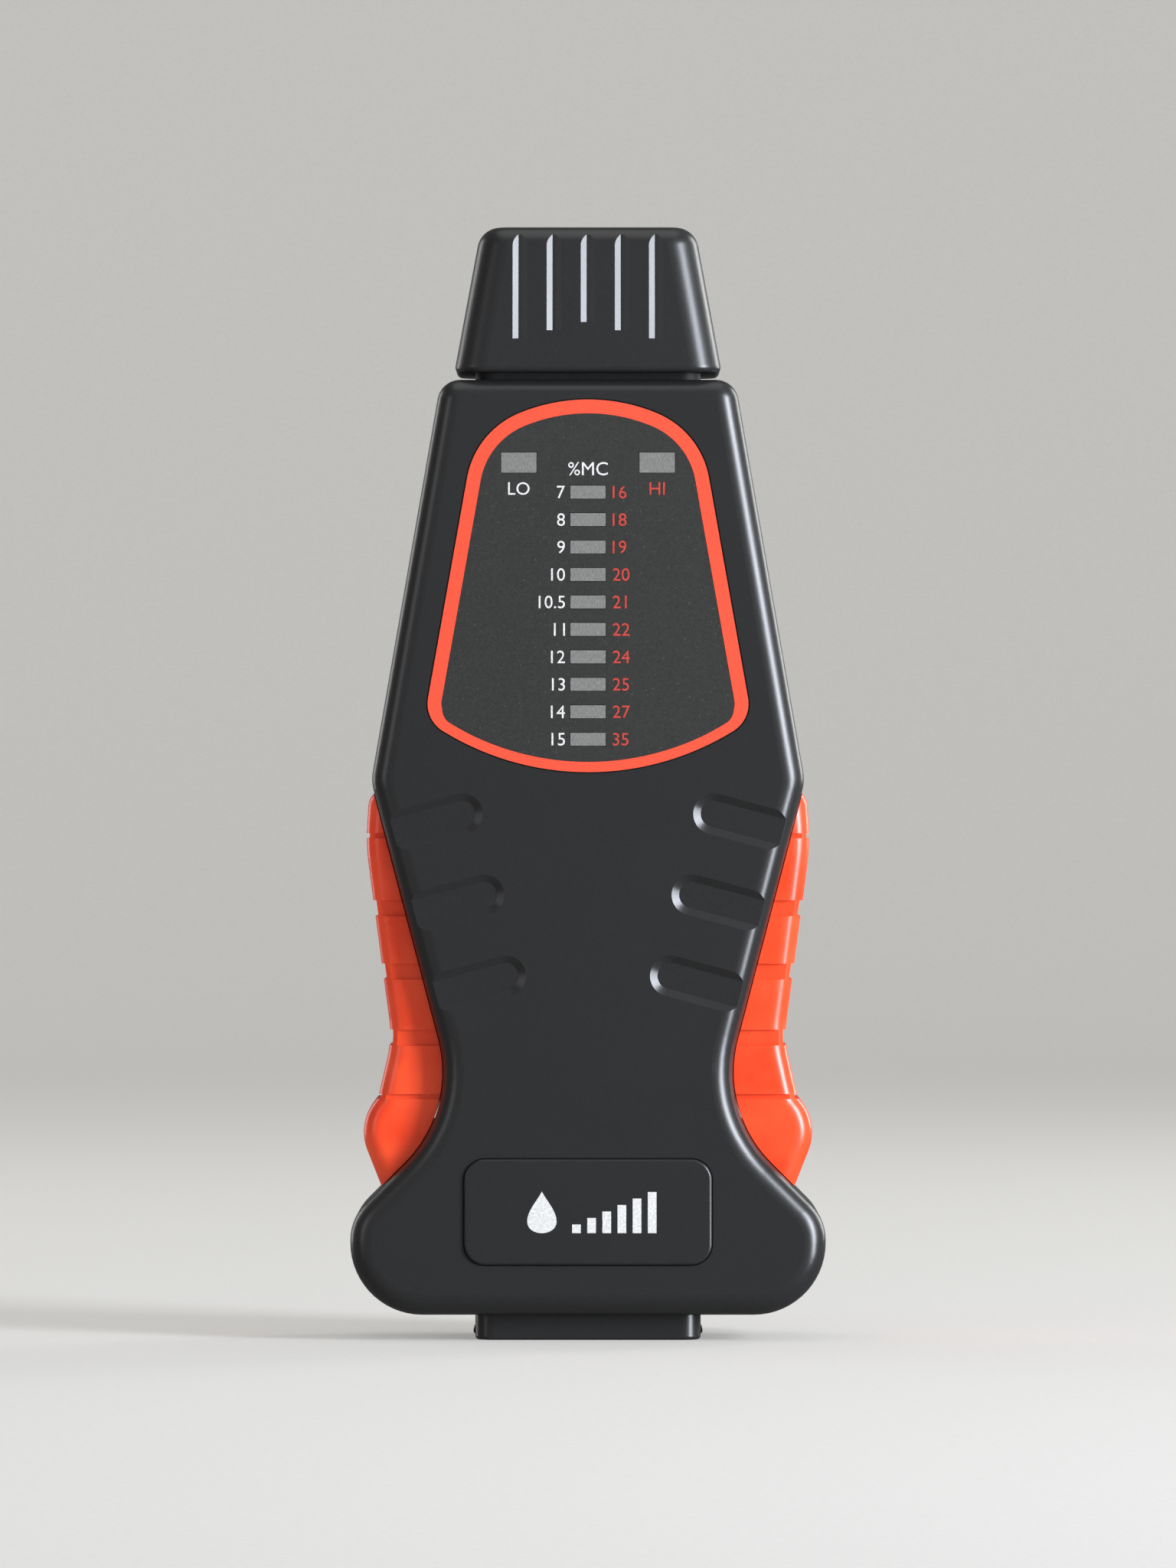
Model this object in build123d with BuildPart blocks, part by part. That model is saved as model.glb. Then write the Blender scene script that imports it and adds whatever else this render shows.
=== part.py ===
"""A handheld two-pin moisture meter: covers, grips, cap, probe, display, board, battery and door.

Millimetres. Z is up, the scale faces -Y, and the meter stands on its parking block at Z = 0.
"""

from build123d import *
import os

os.makedirs("parts", exist_ok=True)

# ---- Driving dimensions --------------------------------------------------------------------------

# Covers, seen from the front
foot_height = 3.6
body_height = 130.0
body_depth = 29.0
shoulder_width = 40.9
hip_width = 60.3
hip_level = 77.85
waist_width = 36.2
waist_level = 31.9
flare_width = 66.1
flare_level = 16.95
shoulder_round = 3.2
hip_round = 6.0
waist_round = 18.0
flare_round = 7.0
corner_round = 10.0
edge_round = 3.0
wall = 2.0
seam_lip_height = 1.2
seam_lip_wall = 0.8

# Neck under the cap, and the parking block that repeats its section
neck_width = 31.4
neck_depth = 20.0
neck_round = 2.6
neck_height = 9.4
flange_width = 1.4
flange_height = 1.1
park_bead_radius = 0.5
park_bead_level = 1.1
park_bead_stand = 0.3

# Cap
cap_stand = 1.0
cap_height = 20.4
cap_base_width = 37.25
cap_base_depth = 27.75
cap_lean = 10.3
cap_side_round = 4.5
cap_top_round = 3.2
cap_lip_round = 0.8
cap_top_wall = 2.2
cap_groove_count = 5
cap_groove_width = 2.0
cap_groove_floor = 0.4
cap_groove_depth = 0.45
cap_groove_pitch = 4.74
cap_groove_overcut = 0.5
cap_groove_length = 13.4
cap_groove_step = 1.15

# Electrode pins
pin_spacing = 18.0
pin_diameter = 1.6
pin_tip_length = 2.6
pin_tip_share = 0.125
pin_grip_length = 11.0
pin_room = 4.6
pin_room_depth = 11.2
socket_diameter = 4.6
socket_length = 16.5
collar_across_flats = 5.5
collar_height = 2.2

# Display overlay
overlay_below_shoulder = 2.8
overlay_height = 51.8
overlay_top_width = 31.8
overlay_top_drop = 5.7
overlay_base_width = 45.5
overlay_base_rise = 7.45
overlay_top_round = 12.0
overlay_base_round = 4.5
overlay_thickness = 0.4
overlay_recess = 0.5

# Light-emitting diodes
led_count = 10
led_pitch = 3.81
led_width = 4.9
led_height = 1.8
first_led_drop = 12.9
end_led_height = 2.8
end_led_spacing = 19.2
end_led_drop = 8.8
lead_width = 0.5
lead_spacing = 2.54
lead_tail = 1.0

# Badge plate
badge_width = 34.4
badge_height = 14.7
badge_round = 2.9
badge_level = 18.0
badge_stand = 0.5
badge_recess = 0.6

# Finger scallops on the front cover
scallop_count = 3
scallop_pitch = 11.25
scallop_width = 5.7
scallop_length = 30.0
scallop_slope = 15.0
scallop_depth = 0.6
scallop_inner = 14.7
scallop_inner_step = 3.0
scallop_top_level = 74.0
scallop_wall_lean = 60.0

# Grips
grip_depth = 21.0
grip_edge_round = 2.5
grip_top = 76.8
grip_top_stand = 0.3
grip_hip_level = 69.0
grip_hip_stand = 0.8
grip_waist_level = 42.0
grip_waist_width = 54.7
grip_heel_level = 33.9
grip_heel_width = 58.4
grip_bulge_level = 30.3
grip_bulge_width = 64.6
grip_toe_level = 18.4
grip_toe_width = 55.2
grip_rounds = (1.0, 2.6, 30.0, 15.0, 1.0, 7.0, 3.0, 1.0)
grip_band_levels = (70.2, 60.1, 51.3, 42.1, 33.9)
grip_band_heights = (0.7, 2.2, 2.2, 2.2, 0.7)
grip_band_depth = 0.45
grip_tab_levels = (67.0, 48.0, 28.0)
grip_tab_height = 5.0
grip_tab_depth = 8.0
grip_tab_reach = 5.5
grip_tab_head = 1.4
grip_tab_head_overhang = 1.5

# Board and its parts
board_width = 24.6
board_height = 63.5
board_thickness = 1.6
board_corner_round = 1.0
board_standoff = 6.5
board_below_shoulder = 7.1
board_screw_spacing_x = 19.6
board_screw_inset = 3.0
board_screw_drop = 10.5
board_boss_diameter = 4.6
board_screw_diameter = 2.0
board_screw_length = 6.0
board_screw_head_diameter = 3.8
board_screw_head_height = 1.2
screw_pilot_share = 0.86
pilot_spare = 1.0

# What the board carries on its rear face
chip_column = 7.15
chip_width = 6.4
chip_thickness = 3.4
driver_height = 22.9
driver_drop = 29.0
amplifier_height = 9.6
amplifier_drop = 18.0
trimmer_width = 9.5
trimmer_thickness = 4.8
trimmer_drop = 30.0
rotor_diameter = 6.0
rotor_thickness = 1.2
rotor_slot_width = 0.8
resistor_count = 5
resistor_pitch = 3.0
resistor_diameter = 2.4
resistor_length = 6.3
resistor_inset = 2.0
resistor_drop = 42.0
capacitor_diameter = 5.0
capacitor_height = 7.0
capacitor_drops = (46.0, 53.0)
capacitor_rim_round = 0.5

# Housing screws
screw_diameter = 2.6
screw_length = 10.0
screw_head_diameter = 4.6
screw_head_height = 1.8
screw_boss_diameter = 7.0
screw_seat = 5.0
screw_slot_length_share = 0.7
screw_slot_width_share = 0.14
upper_screw_spacing = 32.6
upper_screw_drop = 7.6
lower_screw_spacing = 47.0
lower_screw_level = 14.0

# Battery and its bay
battery_width = 26.5
battery_depth = 17.5
battery_can_height = 46.4
battery_corner_round = 2.0
battery_rim_round = 0.6
battery_level = 12.5
stud_spacing = 12.7
stud_diameter = 5.6
stud_height = 2.1
ring_diameter = 8.0
clip_inset = 1.0
clip_depth = 12.0
clip_round = 3.0
clip_thickness = 2.4
bay_rib = 1.5
rib_inset = 2.0
rib_shares = (0.2, 0.5, 0.8)
pad_thickness = 0.8
pad_inset = 3.0
pad_round = 1.0
contact_strip_thickness = 0.4
lead_diameter = 1.3
lead_spacing_x = 6.0
lead_inset = 4.2
lead_bend = 2.4

# Battery door
door_width = 28.4
door_height = 54.2
door_round = 2.0
door_lug_width = 4.0
door_lug_spacing = 17.0
door_lug_thickness = 1.3
door_lug_drop = 2.0
door_rib_count = 5
door_rib_pitch = 2.0
door_rib_drop = 2.4
door_rib_depth = 0.5
thumb_notch_width = 13.0
thumb_notch_height = 3.4
thumb_notch_depth = 1.2

# Power button
button_diameter = 13.0
button_rise = 13.0
button_stand = 0.5
button_rim_round = 0.75
button_dish_radius = 31.2
button_flange = 1.3
button_flange_thickness = 1.4
button_post_diameter = 4.4
button_travel = 0.8
switch_width = 6.0
switch_height = 3.5
switch_stem_diameter = 3.4
switch_stem_length = 3.4
switch_well = 2.2

# Clearances
seat_gap = 0.15
neck_gap = 0.1
cap_gap = 0.15
door_gap = 0.2
door_lug_gap = 0.1
button_gap = 0.2
lead_gap = 0.15
stop_gap = 0.3
stack_gap = 0.2
pin_tip_gap = 1.0
pin_gap = 0.05
slot_spare = 1.0

# ---- Places that follow from them ----------------------------------------------------------------

body_top = foot_height + body_height
half_depth = body_depth / 2
front = -half_depth
rear = half_depth
front_inner = front + wall
rear_inner = rear - wall

neck_top = body_top + neck_height
cap_bottom = body_top + cap_stand
cap_pocket_height = neck_top + stop_gap - cap_bottom
pin_tip = cap_bottom + cap_height - cap_top_wall - pin_tip_gap
flange_top = body_top - wall - stack_gap
flange_bottom = flange_top - flange_height
park_flange_bottom = foot_height + wall + stack_gap
socket_bottom = neck_top - socket_length

overlay_top = body_top - overlay_below_shoulder
overlay_bottom = overlay_top - overlay_height
overlay_seat = front + overlay_recess
overlay_face = overlay_seat - overlay_thickness
led_levels = [overlay_top - first_led_drop - led_pitch * number for number in range(led_count)]
end_led_level = overlay_top - end_led_drop
led_places = {
    f"led_scale_{number + 1:02d}": (0, level, led_height) for number, level in enumerate(led_levels)
}
led_places["led_low"] = (-end_led_spacing / 2, end_led_level, end_led_height)
led_places["led_high"] = (end_led_spacing / 2, end_led_level, end_led_height)

board_front = front_inner + board_standoff
board_rear = board_front + board_thickness
board_top = body_top - board_below_shoulder
board_bottom = board_top - board_height
board_screw_places = [
    (side * board_screw_spacing_x / 2, level)
    for side in (-1, 1)
    for level in (board_bottom + board_screw_inset, board_top - board_screw_drop)
]

screw_places = [
    (side * spacing / 2, level)
    for side in (-1, 1)
    for spacing, level in (
        (upper_screw_spacing, body_top - upper_screw_drop),
        (lower_screw_spacing, lower_screw_level),
    )
]

battery_rear = rear_inner - pad_thickness - seat_gap
battery_front = battery_rear - battery_depth
battery_middle = (battery_front + battery_rear) / 2
battery_top = battery_level + battery_can_height
clip_bottom = battery_top + stud_height + stack_gap
clip_top = clip_bottom + clip_thickness

lead_level = board_bottom + lead_inset

door_bottom = park_flange_bottom + flange_height + door_lug_gap + door_lug_drop
door_top = door_bottom + door_height
door_middle = door_bottom + door_height / 2
button_level = board_bottom + button_rise
button_face = rear + button_stand
switch_top = board_rear + switch_height
stem_end = switch_top + switch_stem_length


# ---- Shapes that several pieces share ------------------------------------------------------------


def facing(y):
    """A plane across the meter at depth y, seen from the front: X across, Z up, normal to -Y."""
    return Plane.XZ.offset(-y)


def body_outline(grow=0.0):
    """The outline that both covers share, grown or shrunk all round."""
    right = [
        (shoulder_width / 2, body_top),
        (hip_width / 2, hip_level),
        (waist_width / 2, waist_level),
        (flare_width / 2, flare_level),
        (flare_width / 2, foot_height),
    ]
    left = [(-x, z) for x, z in reversed(right)]
    rounds = [shoulder_round, hip_round, waist_round, flare_round, corner_round]
    with BuildSketch() as outline:
        with BuildLine():
            FilletPolyline(*right, *left, radius=[*rounds, *reversed(rounds)], close=True)
        make_face()
        if grow:
            offset(amount=grow)
    return outline.sketch


def overlay_outline(grow=0.0):
    """The overlay's outline: slanted sides, a bowed top and a bowed base."""
    base_corner = (overlay_base_width / 2, overlay_bottom + overlay_base_rise)
    top_corner = (overlay_top_width / 2, overlay_top - overlay_top_drop)
    with BuildSketch() as outline:
        with BuildLine():
            base = ThreePointArc(
                (-base_corner[0], base_corner[1]), (0, overlay_bottom), base_corner
            )
            crown = ThreePointArc(
                top_corner, (0, overlay_top), (-top_corner[0], top_corner[1])
            )
            Line(base @ 1, crown @ 0)
            Line(crown @ 1, base @ 0)
        make_face()
        fillet(outline.vertices().group_by(Axis.Y)[-1], radius=overlay_top_round)
        fillet(outline.vertices().sort_by(Axis.Y)[:2], radius=overlay_base_round)
        if grow:
            offset(amount=grow)
    return outline.sketch


def grip_outline(grow=0.0):
    """A grip's outline with the part that the covers take away still on it."""
    deep = waist_width / 4
    points = [
        (deep, grip_top),
        (hip_width / 2 + grip_top_stand, grip_top),
        (hip_width / 2 + grip_hip_stand, grip_hip_level),
        (grip_waist_width / 2, grip_waist_level),
        (grip_heel_width / 2, grip_heel_level),
        (grip_bulge_width / 2, grip_bulge_level),
        (grip_toe_width / 2, grip_toe_level),
        (deep, grip_toe_level),
    ]
    with BuildSketch() as outline:
        with BuildLine():
            FilletPolyline(*points, radius=grip_rounds, close=True)
        make_face()
        if grow:
            offset(amount=grow)
    return outline.sketch


def block_section(grow=0.0):
    """The section of the neck and of the parking block, which the cap fits over at either end."""
    with BuildSketch() as section:
        RectangleRounded(neck_width + 2 * grow, neck_depth + 2 * grow, neck_round)
    return section.sketch


def led_windows(clearance):
    """A window for each diode, larger than its lens by the clearance."""
    with BuildSketch() as windows:
        for x, level, height in led_places.values():
            with Locations((x, level)):
                Rectangle(led_width + clearance, height + clearance)
    return windows.sketch


def tab_seat(level):
    """How far from the middle a grip's tab meets the inside of the covers at its tightest."""
    with BuildSketch() as inside:
        with Locations((flare_width / 2, level)):
            Rectangle(flare_width, grip_tab_height)
        add(body_outline(-wall), mode=Mode.SUBTRACT)
    return inside.sketch.bounding_box().min.X - seat_gap


def save(piece, name):
    """Label a finished piece and write its STEP file."""
    piece.part.label = name
    export_step(piece.part, f"parts/{name}.step")


# ---- Front cover ---------------------------------------------------------------------------------

# What the neck and the parking block take away from both covers
with BuildPart() as block_openings:
    for level in (body_top - 1.5 * wall, foot_height - wall / 2):
        with BuildSketch(Plane.XY.offset(level)):
            add(block_section(neck_gap))
        extrude(amount=2 * wall)

with BuildPart() as front_cover:
    with BuildSketch(facing(0)):
        add(body_outline())
    extrude(amount=half_depth)
    fillet(front_cover.faces().sort_by(Axis.Y)[0].edges(), radius=edge_round)
    # Finger scallops run out over the rounded side edges
    with BuildSketch(facing(front)):
        for side in (-1, 1):
            for number in range(scallop_count):
                inner = Vector(
                    side * (scallop_inner - scallop_inner_step * number),
                    scallop_top_level - scallop_pitch * number,
                )
                run = Vector(side, 0).rotate(Axis.Z, -side * scallop_slope)
                middle = inner + run * (scallop_length / 2)
                with Locations((middle.X, middle.Y)):
                    SlotOverall(scallop_length, scallop_width, rotation=-side * scallop_slope)
    extrude(amount=-scallop_depth, taper=scallop_wall_lean, mode=Mode.SUBTRACT)
    # Cavity
    with BuildSketch(facing(0)):
        add(body_outline(-wall))
    extrude(amount=half_depth - wall, mode=Mode.SUBTRACT)
    # Bosses for the housing screws and the board screws
    with BuildSketch(facing(0)):
        with Locations(*screw_places):
            Circle(screw_boss_diameter / 2)
    extrude(amount=half_depth - wall / 2)
    with BuildSketch(facing(board_front)):
        with Locations(*board_screw_places):
            Circle(board_boss_diameter / 2)
    extrude(amount=board_standoff + wall / 2)
    with BuildSketch(facing(0)):
        with Locations(*screw_places):
            Circle(screw_diameter * screw_pilot_share / 2)
    extrude(amount=screw_length - screw_seat + pilot_spare, mode=Mode.SUBTRACT)
    with BuildSketch(facing(board_front)):
        with Locations(*board_screw_places):
            Circle(board_screw_diameter * screw_pilot_share / 2)
    extrude(amount=board_screw_length - board_thickness + pilot_spare, mode=Mode.SUBTRACT)
    # Ribs that the battery lies against
    with BuildSketch(facing(battery_front - seat_gap)):
        for share in rib_shares:
            with Locations((0, battery_level + battery_can_height * share)):
                Rectangle(battery_width - 2 * rib_inset, bay_rib)
    extrude(amount=battery_front - seat_gap - front_inner + wall / 2)
    # Overlay recess, badge recess and the windows for the diodes
    with BuildSketch(facing(overlay_seat)):
        add(overlay_outline(seat_gap))
    extrude(amount=overlay_recess, mode=Mode.SUBTRACT)
    with BuildSketch(facing(front + badge_recess)):
        with Locations((0, badge_level)):
            RectangleRounded(
                badge_width + 2 * seat_gap, badge_height + 2 * seat_gap, badge_round + seat_gap
            )
    extrude(amount=badge_recess, mode=Mode.SUBTRACT)
    with BuildSketch(facing(front_inner)):
        add(led_windows(2 * seat_gap))
    extrude(amount=wall, mode=Mode.SUBTRACT)
    # Openings for the neck, the parking block and the grips' tabs
    add(block_openings.part, mode=Mode.SUBTRACT)
    with BuildSketch(Plane.YZ):
        for level in grip_tab_levels:
            with Locations((0, level)):
                Rectangle(grip_tab_depth + 2 * seat_gap, grip_tab_height + 2 * seat_gap)
    extrude(amount=hip_width / 2, both=True, mode=Mode.SUBTRACT)
save(front_cover, "front_cover")

# ---- Rear cover ----------------------------------------------------------------------------------

with BuildPart() as rear_cover:
    with BuildSketch(facing(0)):
        add(body_outline())
    extrude(amount=-half_depth)
    fillet(rear_cover.faces().sort_by(Axis.Y)[-1].edges(), radius=edge_round)
    with BuildSketch(facing(0)):
        add(body_outline(-wall))
    extrude(amount=wall - half_depth, mode=Mode.SUBTRACT)
    # Seam lip inside the front cover's wall, open at the neck, the block, the bosses and the tabs
    with BuildSketch(facing(0)):
        add(body_outline(-wall - seat_gap))
        add(body_outline(-wall - seat_gap - seam_lip_wall), mode=Mode.SUBTRACT)
        with Locations((0, body_top), (0, foot_height)):
            Rectangle(neck_width + 4 * wall, 4 * wall, mode=Mode.SUBTRACT)
        with Locations(*screw_places):
            Circle(screw_boss_diameter / 2 + seat_gap, mode=Mode.SUBTRACT)
        for level in grip_tab_levels:
            with Locations((0, level)):
                Rectangle(flare_width, grip_tab_height + 2 * wall, mode=Mode.SUBTRACT)
    extrude(amount=seam_lip_height)
    # The wall is thicker behind the lip, which grows from it
    with BuildSketch(facing(wall)):
        add(body_outline(-wall / 2))
        add(body_outline(-wall - seat_gap - seam_lip_wall), mode=Mode.SUBTRACT)
        with Locations((0, body_top), (0, foot_height)):
            Rectangle(neck_width + 4 * wall, 4 * wall, mode=Mode.SUBTRACT)
        for level in grip_tab_levels:
            with Locations((0, level)):
                Rectangle(flare_width, grip_tab_height + 2 * wall, mode=Mode.SUBTRACT)
    extrude(amount=wall)
    # Screw bosses, with a well for each head and a clearance hole for each shank
    with BuildSketch(facing(0)):
        with Locations(*screw_places):
            Circle(screw_boss_diameter / 2)
    extrude(amount=wall / 2 - half_depth)
    with BuildSketch(facing(screw_seat)):
        with Locations(*screw_places):
            Circle(screw_head_diameter / 2 + seat_gap)
    extrude(amount=screw_seat - half_depth, mode=Mode.SUBTRACT)
    with BuildSketch(facing(0)):
        with Locations(*screw_places):
            Circle(screw_diameter / 2 + seat_gap)
    extrude(amount=-screw_seat, mode=Mode.SUBTRACT)
    # Side walls of the battery bay
    with BuildSketch(facing(rear_inner + wall / 2)):
        for side in (-1, 1):
            with Locations((side * (door_width / 2 + door_gap + bay_rib / 2), door_middle)):
                Rectangle(bay_rib, door_height)
    extrude(amount=rear_inner + wall / 2 - battery_middle)
    # Door opening and the thumb notch above it
    with BuildSketch(facing(rear_inner)):
        with Locations((0, door_middle)):
            RectangleRounded(door_width, door_height, door_round)
    extrude(amount=-wall, mode=Mode.SUBTRACT)
    with BuildSketch(facing(rear)):
        with Locations((0, door_top)):
            SlotOverall(thumb_notch_width, 2 * thumb_notch_height)
    extrude(amount=thumb_notch_depth, mode=Mode.SUBTRACT)
    # Button hole
    with BuildSketch(facing(rear_inner)):
        with Locations((0, button_level)):
            Circle(button_diameter / 2 + button_gap)
    extrude(amount=-wall, mode=Mode.SUBTRACT)
    # Openings for the neck, the parking block and the grips' tabs
    add(block_openings.part, mode=Mode.SUBTRACT)
    for side in (-1, 1):
        with BuildSketch(Plane.YZ.offset(side * hip_width / 2)):
            for level in grip_tab_levels:
                with Locations((0, level)):
                    Rectangle(grip_tab_depth + 2 * seat_gap, grip_tab_height + 2 * seat_gap)
        extrude(amount=-side * (hip_width - door_width - 2 * bay_rib - wall) / 2, mode=Mode.SUBTRACT)
save(rear_cover, "rear_cover")

# ---- Grips ---------------------------------------------------------------------------------------

with BuildPart() as grip_core:
    with BuildSketch(facing(0)):
        add(grip_outline(-grip_band_depth))
    extrude(amount=grip_depth / 2 - grip_band_depth, both=True)

with BuildPart() as grip_grooves:
    with BuildSketch(facing(0)):
        for level, height in zip(grip_band_levels, grip_band_heights):
            with Locations((flare_width / 2, level)):
                Rectangle(flare_width, height)
    extrude(amount=grip_depth, both=True)
    add(grip_core.part, mode=Mode.SUBTRACT)

with BuildPart() as right_grip:
    with BuildSketch(facing(0)):
        add(grip_outline())
    extrude(amount=grip_depth / 2, both=True)
    fillet(right_grip.faces().sort_by(Axis.Y)[0].edges(), radius=grip_edge_round)
    fillet(right_grip.faces().sort_by(Axis.Y)[-1].edges(), radius=grip_edge_round)
    add(grip_grooves.part, mode=Mode.SUBTRACT)
    with BuildSketch(facing(0)):
        add(body_outline(seat_gap))
    extrude(amount=half_depth, both=True, mode=Mode.SUBTRACT)
    # T-shaped tabs, caught between the two covers
    for level in grip_tab_levels:
        head_face = tab_seat(level)
        with BuildSketch(Plane.YZ.offset(head_face)):
            with Locations((0, level)):
                Rectangle(grip_tab_depth, grip_tab_height)
        extrude(amount=grip_tab_reach)
        with BuildSketch(Plane.YZ.offset(head_face - grip_tab_head)):
            with Locations((0, level)):
                Rectangle(grip_tab_depth + 2 * grip_tab_head_overhang, grip_tab_height)
        extrude(amount=grip_tab_head)
save(right_grip, "right_grip")

with BuildPart() as left_grip:
    add(mirror(right_grip.part, about=Plane.YZ, mode=Mode.PRIVATE))
save(left_grip, "left_grip")

# ---- Display overlay and badge plate -------------------------------------------------------------

with BuildPart() as display_overlay:
    with BuildSketch(facing(overlay_seat)):
        add(overlay_outline())
        add(led_windows(seat_gap), mode=Mode.SUBTRACT)
    extrude(amount=overlay_thickness)
save(display_overlay, "display_overlay")

with BuildPart() as badge_plate:
    with BuildSketch(facing(front + badge_recess)):
        with Locations((0, badge_level)):
            RectangleRounded(badge_width, badge_height, badge_round)
    extrude(amount=badge_recess + badge_stand)
    fillet(badge_plate.faces().sort_by(Axis.Y)[0].edges(), radius=0.8 * badge_stand)
save(badge_plate, "badge_plate")

# ---- Neck that carries the pins, and the parking block -------------------------------------------

with BuildPart() as pin_block:
    with BuildSketch(Plane.XY.offset(flange_bottom)):
        add(block_section())
    extrude(amount=neck_top - flange_bottom)
    fillet(pin_block.faces().sort_by(Axis.Z)[-1].edges(), radius=edge_round / 4)
    with BuildSketch(Plane.XY.offset(flange_bottom)):
        add(block_section(flange_width))
    extrude(amount=flange_height)
    with BuildSketch(Plane.XY.offset(flange_bottom)):
        with Locations((-pin_spacing / 2, 0), (pin_spacing / 2, 0)):
            Circle(socket_diameter / 2)
    extrude(amount=neck_top - flange_bottom, mode=Mode.SUBTRACT)
save(pin_block, "pin_block")

with BuildPart() as parking_block:
    with BuildSketch(Plane.XY):
        add(block_section())
    extrude(amount=park_flange_bottom + flange_height)
    fillet(parking_block.faces().sort_by(Axis.Z)[0].edges(), radius=park_bead_radius)
    with BuildSketch(Plane.XY.offset(park_flange_bottom)):
        add(block_section(flange_width))
    extrude(amount=flange_height)
    # Beads that the parked cap snaps over
    for side in (-1, 1):
        with BuildSketch(facing(neck_depth / 4)):
            with Locations((side * (neck_width / 2 + park_bead_stand - park_bead_radius), park_bead_level)):
                Circle(park_bead_radius)
        extrude(amount=neck_depth / 2)
save(parking_block, "parking_block")

# ---- Electrode pins, their sockets and the strips to the board -----------------------------------

for side, word in ((-1, "left"), (1, "right")):
    across = side * pin_spacing / 2
    with BuildPart() as pin_socket:
        with BuildSketch(Plane.XY.offset(socket_bottom)):
            with Locations((across, 0)):
                Circle(socket_diameter / 2)
        extrude(amount=neck_top - socket_bottom)
        with BuildSketch(Plane.XY.offset(neck_top)):
            with Locations((across, 0)):
                RegularPolygon(collar_across_flats / 2, 6, major_radius=False)
        extrude(amount=collar_height)
        with BuildSketch(Plane.XY.offset(neck_top + collar_height - pin_grip_length)):
            with Locations((across, 0)):
                Circle(pin_diameter / 2 + pin_gap)
        extrude(amount=pin_grip_length, mode=Mode.SUBTRACT)
    save(pin_socket, f"pin_socket_{word}")

    with BuildPart() as electrode_pin:
        with BuildSketch(Plane.XZ):
            with BuildLine():
                Polyline(
                    (across, neck_top + collar_height - pin_grip_length),
                    (across + pin_diameter / 2, neck_top + collar_height - pin_grip_length),
                    (across + pin_diameter / 2, pin_tip - pin_tip_length),
                    (across + pin_diameter / 2 * pin_tip_share, pin_tip),
                    (across, pin_tip),
                    close=True,
                )
            make_face()
        revolve(axis=Axis((across, 0, 0), (0, 0, 1)))
    save(electrode_pin, f"electrode_pin_{word}")

    with BuildPart() as contact_strip:
        strip = contact_strip_thickness
        with BuildSketch(Plane.YZ.offset(across - socket_diameter / 2)):
            with BuildLine():
                Polyline(
                    (board_rear, board_top - 2 * strip),
                    (board_rear, socket_bottom),
                    (socket_diameter / 2, socket_bottom),
                    (socket_diameter / 2, socket_bottom - strip),
                    (board_rear + strip, socket_bottom - strip),
                    (board_rear + strip, board_top - 3 * strip),
                    (board_rear, board_top - 3 * strip),
                    close=True,
                )
            make_face()
        extrude(amount=socket_diameter)
    save(contact_strip, f"contact_strip_{word}")

# ---- Cap -----------------------------------------------------------------------------------------

with BuildPart() as cap:
    with BuildSketch(Plane.XY.offset(cap_bottom)):
        Rectangle(cap_base_width, cap_base_depth)
    extrude(amount=cap_height, taper=cap_lean)
    slanted = cap.edges().filter_by(lambda edge: abs(edge.tangent_at(0.5).Z) > 0.5)
    fillet(slanted, radius=cap_side_round)
    fillet(cap.faces().sort_by(Axis.Z)[-1].edges(), radius=cap_top_round)
    fillet(cap.faces().sort_by(Axis.Z)[0].edges(), radius=cap_lip_round)
    # Pocket that slides over the neck, then the space for the pins
    with BuildSketch(Plane.XY.offset(cap_bottom)):
        add(block_section(cap_gap))
    extrude(amount=cap_pocket_height, mode=Mode.SUBTRACT)
    with BuildSketch(Plane.XY.offset(cap_bottom)):
        RectangleRounded(pin_spacing + 2 * pin_room, pin_room_depth, wall)
    extrude(amount=cap_height - cap_top_wall, mode=Mode.SUBTRACT)
    # Slant-walled grooves up the leaning front and back faces, the middle one the shortest
    for face_side in (-1, 1):
        up_the_face = Vector(0, 0, 1).rotate(Axis.X, face_side * cap_lean)
        for number in range(cap_groove_count):
            from_middle = number - (cap_groove_count - 1) / 2
            rise = cap_height - cap_groove_length - abs(from_middle) * cap_groove_step
            foot = Vector(from_middle * cap_groove_pitch, face_side * cap_base_depth / 2, cap_bottom)
            start = foot + up_the_face * (rise / up_the_face.Z)
            across_the_face = Vector(face_side, 0, 0)
            with BuildSketch(Plane(origin=start, x_dir=across_the_face, z_dir=up_the_face)):
                with BuildLine():
                    Polyline(
                        (-cap_groove_width / 2, cap_groove_overcut),
                        (-cap_groove_width / 2, 0),
                        (-cap_groove_floor / 2, -cap_groove_depth),
                        (cap_groove_floor / 2, -cap_groove_depth),
                        (cap_groove_width / 2, 0),
                        (cap_groove_width / 2, cap_groove_overcut),
                        close=True,
                    )
                make_face()
            extrude(amount=cap_height, mode=Mode.SUBTRACT)
save(cap, "cap")

# ---- Board and what it carries -------------------------------------------------------------------

with BuildPart() as main_board:
    with BuildSketch(facing(board_rear)):
        with Locations((0, board_top - board_height / 2)):
            RectangleRounded(board_width, board_height, board_corner_round)
        with Locations(*board_screw_places):
            Circle(board_screw_diameter / 2 + seat_gap, mode=Mode.SUBTRACT)
        for x, level, _ in led_places.values():
            with Locations((x - lead_spacing / 2, level), (x + lead_spacing / 2, level)):
                Circle(lead_width / 2 + 2 * lead_gap, mode=Mode.SUBTRACT)
    extrude(amount=board_thickness)
save(main_board, "main_board")


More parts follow.
